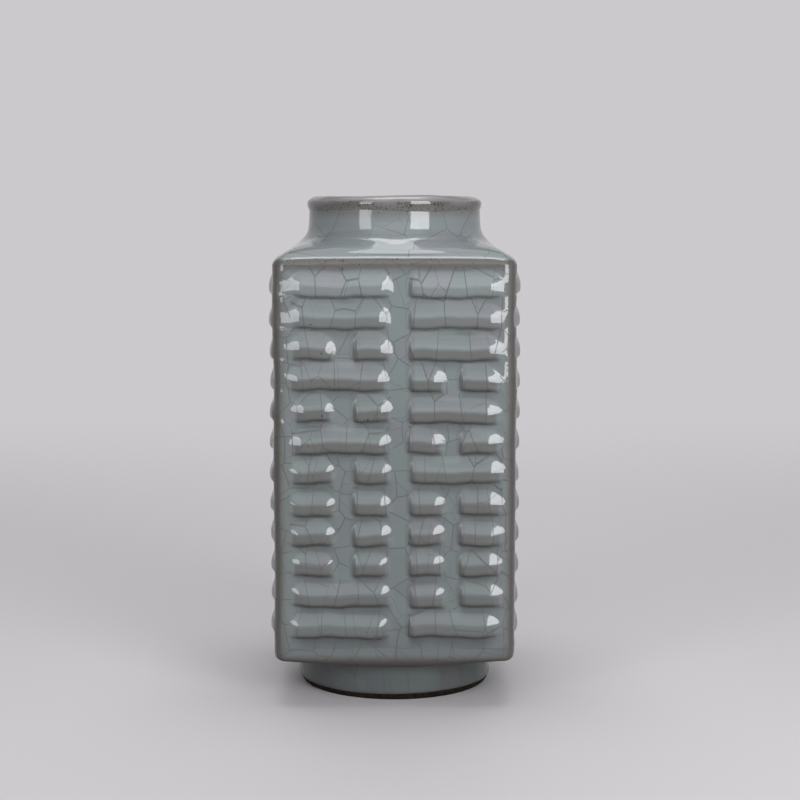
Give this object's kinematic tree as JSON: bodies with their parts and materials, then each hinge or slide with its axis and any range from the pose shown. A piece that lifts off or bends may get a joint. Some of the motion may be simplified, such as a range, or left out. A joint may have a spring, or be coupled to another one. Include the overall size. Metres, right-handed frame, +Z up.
{
  "type": "cong vase",
  "caption": "Tall square cong vase in grey-green crackle glaze, with trigram bars in relief on every wall, a sloping shoulder, a short round neck with a rolled lip, and a round foot ring.",
  "frame": {"origin": "middle of the foot ring's resting face, on the vase's upright axis", "axes": "+Z up along the vase's axis, -Y out of the front wall, +X towards the right wall"},
  "size_m": [0.1386, 0.1386, 0.2815],
  "materials": {
    "crackle_glaze": "glossy grey-green glaze with a dark crackle",
    "rim_glaze": "the same glaze, thin and brownish grey over the rim",
    "inner_glaze": "glossy grey-green glaze inside the vase",
    "bare_clay": "unglazed dark brown stoneware on the foot's edge"
  },
  "bodies": {
    "root": {"foot_ring": "crackle_glaze", "floor_slab": "crackle_glaze", "shoulder": "crackle_glaze", "neck": "crackle_glaze", "lip": "rim_glaze", "front_wall": "crackle_glaze", "right_wall": "crackle_glaze", "back_wall": "crackle_glaze", "left_wall": "crackle_glaze", "front_left_seam_coil": "inner_glaze", "front_right_seam_coil": "inner_glaze", "back_right_seam_coil": "inner_glaze", "back_left_seam_coil": "inner_glaze", "floor_seam_coils": "inner_glaze", "front_heaven_trigram": "crackle_glaze", "front_water_trigram": "crackle_glaze", "front_mountain_trigram": "crackle_glaze", "front_thunder_trigram": "crackle_glaze", "front_wind_trigram": "crackle_glaze", "front_fire_trigram": "crackle_glaze", "front_earth_trigram": "crackle_glaze", "front_lake_trigram": "crackle_glaze", "right_heaven_trigram": "crackle_glaze", "right_water_trigram": "crackle_glaze", "right_mountain_trigram": "crackle_glaze", "right_thunder_trigram": "crackle_glaze", "right_wind_trigram": "crackle_glaze", "right_fire_trigram": "crackle_glaze", "right_earth_trigram": "crackle_glaze", "right_lake_trigram": "crackle_glaze", "back_heaven_trigram": "crackle_glaze", "back_water_trigram": "crackle_glaze", "back_mountain_trigram": "crackle_glaze", "back_thunder_trigram": "crackle_glaze", "back_wind_trigram": "crackle_glaze", "back_fire_trigram": "crackle_glaze", "back_earth_trigram": "crackle_glaze", "back_lake_trigram": "crackle_glaze", "left_heaven_trigram": "crackle_glaze", "left_water_trigram": "crackle_glaze", "left_mountain_trigram": "crackle_glaze", "left_thunder_trigram": "crackle_glaze", "left_wind_trigram": "crackle_glaze", "left_fire_trigram": "crackle_glaze", "left_earth_trigram": "crackle_glaze", "left_lake_trigram": "crackle_glaze"}
  },
  "joints": []
}
